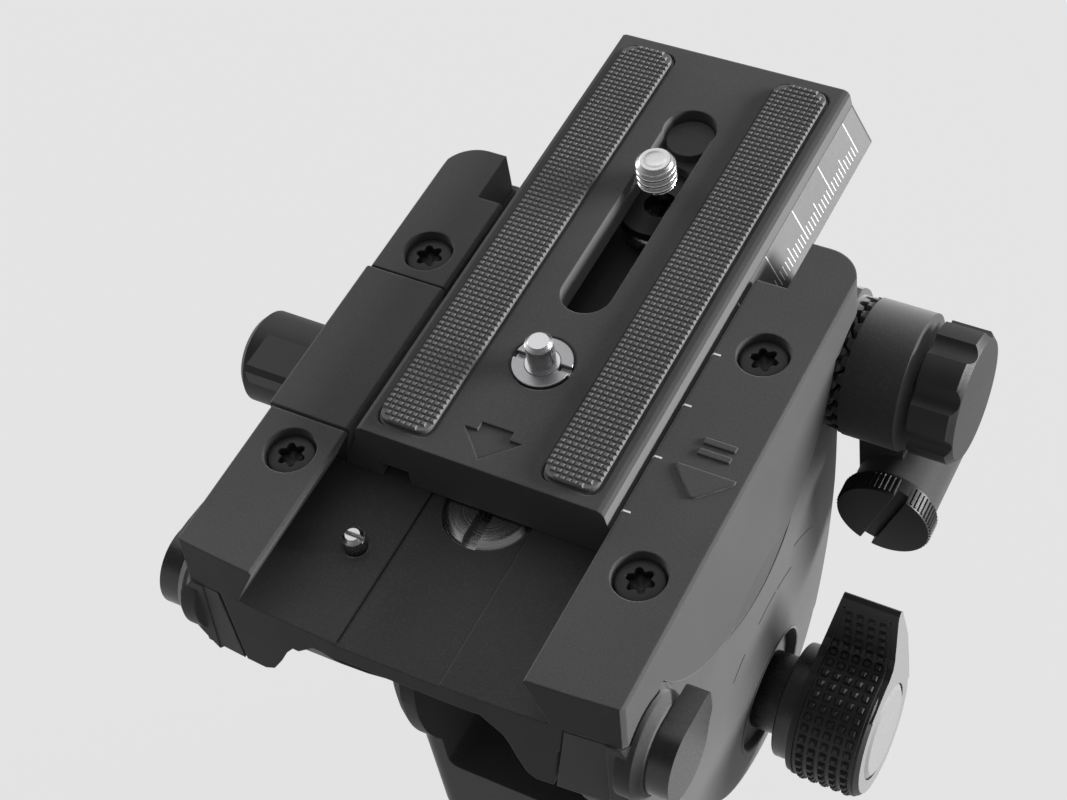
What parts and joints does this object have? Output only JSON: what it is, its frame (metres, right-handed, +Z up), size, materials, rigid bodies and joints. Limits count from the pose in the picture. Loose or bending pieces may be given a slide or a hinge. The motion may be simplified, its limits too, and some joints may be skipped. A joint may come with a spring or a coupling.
{
  "type": "fluid video head",
  "caption": "Fluid video head: sliding quick release camera plate on a dovetail platform, two side arms, damped tilt axle in a fork, pan base, lock knobs and a toothed pan bar bracket.",
  "frame": {"origin": "middle of the mouth of the tripod thread, on the pan axis, in the plane of the seat on the tripod", "axes": "+Z up along the pan axis, +X to the side with the tilt knob and the bar bracket, -Y to the lens side"},
  "size_m": [0.1043, 0.1172, 0.123],
  "materials": {
    "black_cast": "fine textured matt black coat on die cast aluminium",
    "grey_cast": "satin black coat on die cast aluminium",
    "steel": "turned and nickel plated steel",
    "spring_steel": "spring wire",
    "black_steel": "black oxide steel",
    "bronze": "plain bearing bronze",
    "rubber": "moulded black rubber",
    "brake_pad": "friction plastic",
    "black_plastic": "moulded black plastic",
    "grey_plastic": "satin grey plastic",
    "vial": "spirit vial, level mark, clear top"
  },
  "bodies": {
    "base": {"base_plate": "black_cast", "base_pad": "rubber", "tripod_insert": "steel", "pan_spindle": "steel", "pan_nut": "steel", "pan_drag_rotor": "bronze"},
    "pan_body": {"pan_housing": "black_cast", "pan_drag_stator": "bronze", "pan_bush": "bronze", "pan_brake_shoe": "brake_pad", "level_ring": "steel", "level_vial": "vial", "tilt_bushes": "bronze", "tilt_damper_case": "grey_cast", "tilt_damper_cover": "grey_cast", "tilt_drag_plates": "bronze", "damper_screws": "black_steel", "counterbalance_spring": "spring_steel"},
    "tilt_head": {"platform": "black_cast", "side_arm_right": "grey_cast", "side_arm_left": "grey_cast", "arm_screws": "black_steel", "centre_bolt": "steel", "tilt_axle": "steel", "axle_cap": "black_plastic", "tilt_damper_rotor": "steel", "rosette_right": "grey_cast", "rosette_left": "grey_cast", "safety_cup": "steel", "safety_spring": "spring_steel"},
    "safety_button": {"safety_pin": "steel"},
    "jaw": {"clamp_jaw": "black_cast", "jaw_guide_pins": "steel", "jaw_spring": "spring_steel"},
    "lock_knob": {"plate_lock_knob": "rubber", "plate_lock_screw": "steel"},
    "plug_right": {"front_plug_right": "black_plastic"},
    "plug_left": {"front_plug_left": "black_plastic"},
    "tilt_knob": {"tilt_knob_core": "black_plastic", "tilt_knob_grip": "rubber", "tilt_knob_cap": "grey_plastic"},
    "pan_knob": {"pan_knob_core": "black_plastic", "pan_knob_grip": "rubber", "pan_knob_cap": "grey_plastic"},
    "bracket": {"pan_bar_bracket": "black_cast"},
    "bracket_screw": {"bracket_knob": "rubber", "bracket_bolt": "steel"},
    "thumbscrew": {"bar_thumbscrew": "black_steel"},
    "plate": {"quick_plate": "black_cast", "grip_pad_left": "rubber", "grip_pad_right": "rubber", "video_pin_bush": "steel", "video_pin_spring": "spring_steel"},
    "anti_twist_pin": {"video_pin": "steel"},
    "screw_carriage": {"screw_collar": "black_steel"},
    "screw": {"camera_screw": "steel"}
  },
  "joints": [
    {"name": "pan", "type": "hinge", "parent": "base", "child": "pan_body", "pos_m": [0, 0, 0.018], "axis": [0, 0, 1], "continuous": true},
    {"name": "tilt", "type": "hinge", "parent": "pan_body", "child": "tilt_head", "pos_m": [0, 0, 0.058], "axis": [1, 0, 0], "range_deg": [-60, 90]},
    {"name": "safety_pin_press", "type": "slide", "parent": "tilt_head", "child": "safety_button", "axis": [0, 0, -1], "range_m": [0, 0.0029], "stiffness_N_per_m": 400, "springref_m": -0.002, "deforming": ["safety_spring"]},
    {"name": "jaw_slide", "type": "slide", "parent": "tilt_head", "child": "jaw", "axis": [-1, 0, 0], "range_m": [0, 0.0015]},
    {"name": "plate_lock_turn", "type": "hinge", "parent": "jaw", "child": "lock_knob", "pos_m": [-0.042, 0.0003, 0.1043], "axis": [-1, 0, 0], "range_deg": [0, 180]},
    {"name": "front_plug_right_turn", "type": "hinge", "parent": "tilt_head", "child": "plug_right", "pos_m": [0.04, -0.036, 0.1], "axis": [1, 0, 0], "range_deg": [-90, 90]},
    {"name": "front_plug_left_turn", "type": "hinge", "parent": "tilt_head", "child": "plug_left", "pos_m": [-0.04, -0.036, 0.1], "axis": [1, 0, 0], "range_deg": [-90, 90]},
    {"name": "tilt_lock_turn", "type": "hinge", "parent": "tilt_head", "child": "tilt_knob", "pos_m": [0.045, 0, 0.058], "axis": [1, 0, 0], "range_deg": [0, 200]},
    {"name": "pan_lock_turn", "type": "hinge", "parent": "pan_body", "child": "pan_knob", "pos_m": [0, 0.028, 0.0126], "axis": [0, 1, 0], "range_deg": [0, 180]},
    {"name": "bar_bracket_turn", "type": "hinge", "parent": "tilt_head", "child": "bracket", "pos_m": [0.037, 0.0375, 0.0975], "axis": [1, 0, 0], "continuous": true},
    {"name": "bracket_knob_turn", "type": "hinge", "parent": "bracket", "child": "bracket_screw", "pos_m": [0.05, 0.0375, 0.0975], "axis": [1, 0, 0], "continuous": true},
    {"name": "bar_thumbscrew_turn", "type": "hinge", "parent": "bracket", "child": "thumbscrew", "pos_m": [0.0454, 0.0277, 0.0792], "axis": [0, -1, 0], "continuous": true},
    {"name": "plate_slide", "type": "slide", "parent": "tilt_head", "child": "plate", "axis": [0, 1, 0], "range_m": [-0.03, 0.04]},
    {"name": "video_pin_press", "type": "slide", "parent": "plate", "child": "anti_twist_pin", "axis": [0, 0, -1], "range_m": [0, 0.0032], "stiffness_N_per_m": 300, "springref_m": -0.002, "deforming": ["video_pin_spring"]},
    {"name": "camera_screw_slide", "type": "slide", "parent": "plate", "child": "screw_carriage", "axis": [0, 1, 0], "range_m": [-0.0245, 0.003]},
    {"name": "camera_screw_turn", "type": "hinge", "parent": "screw_carriage", "child": "screw", "pos_m": [0, 0.0447, 0.118], "axis": [0, 0, 1], "continuous": true}
  ],
  "couplings": [
    {"joint": "plate_lock_turn", "follows": "jaw_slide", "rad_per_m": 2094}
  ]
}
